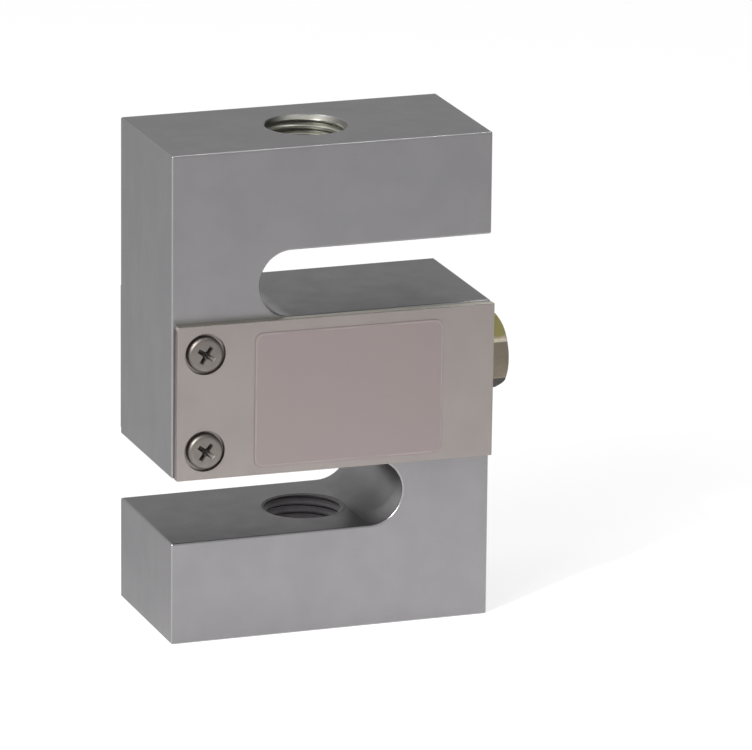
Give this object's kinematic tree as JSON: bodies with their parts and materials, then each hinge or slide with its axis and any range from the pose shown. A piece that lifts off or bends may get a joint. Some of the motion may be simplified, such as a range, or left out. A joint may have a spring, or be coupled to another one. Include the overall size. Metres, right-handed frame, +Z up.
{
  "type": "s type load cell",
  "caption": "S-shaped steel beam load cell with threaded load holes at top and bottom, side cover plates and a hexagonal cable gland.",
  "frame": {"origin": "centre of the lower threaded hole at the bottom face, on the load axis", "axes": "+Z up the load axis towards the upper threaded hole, +X towards the cable gland, -Y towards the front cover"},
  "size_m": [0.0567, 0.0296, 0.0762],
  "materials": {
    "beam_steel": "satin nickel-plated alloy steel, finely ground",
    "cover_sheet": "satin nickel-plated sheet, warm grey",
    "screw_steel": "nickel-plated screw steel",
    "label_foil": "matte blank foil label",
    "seal_rubber": "soft black rubber",
    "fibre_ring": "red-brown fibre sealing ring",
    "gauge_film": "amber polyimide film with etched foil",
    "gauge_wire": "enamelled copper wire",
    "link_wire": "fine insulated hook-up wire",
    "potting_silicone": "translucent white silicone",
    "board_laminate": "green glass-epoxy laminate",
    "resistor_ceramic": "black chip resistor on ceramic",
    "gland_plated_brass": "thinly nickel-plated brass with a yellow cast",
    "washer_brass": "plain brass"
  },
  "bodies": {
    "root": {"balance_board": "board_laminate", "blank_label": "label_foil", "cable_grommet": "seal_rubber", "cover_screw_front_lower": "screw_steel", "cover_screw_front_upper": "screw_steel", "cover_screw_rear_lower": "screw_steel", "cover_screw_rear_upper": "screw_steel", "front_cover": "cover_sheet", "front_cover_seal": "seal_rubber", "front_potting": "potting_silicone", "gauge_lead_front_1": "gauge_wire", "gauge_lead_front_2": "gauge_wire", "gauge_lead_front_3": "gauge_wire", "gauge_lead_front_4": "gauge_wire", "gauge_lead_rear_1": "gauge_wire", "gauge_lead_rear_2": "gauge_wire", "gauge_lead_rear_3": "gauge_wire", "gauge_lead_rear_4": "gauge_wire", "gland_screw": "gland_plated_brass", "gland_seal_ring": "fibre_ring", "link_lead_1": "link_wire", "link_lead_2": "link_wire", "link_lead_3": "link_wire", "link_lead_4": "link_wire", "load_beam": "beam_steel", "rear_cover": "cover_sheet", "rear_cover_seal": "seal_rubber", "rear_potting": "potting_silicone", "rear_terminal_board": "board_laminate", "span_resistor": "resistor_ceramic", "strain_gauge_front_1": "gauge_film", "strain_gauge_front_2": "gauge_film", "strain_gauge_rear_1": "gauge_film", "strain_gauge_rear_2": "gauge_film", "temperature_resistor": "resistor_ceramic", "thrust_washer": "washer_brass", "zero_resistor": "resistor_ceramic"}
  },
  "joints": []
}
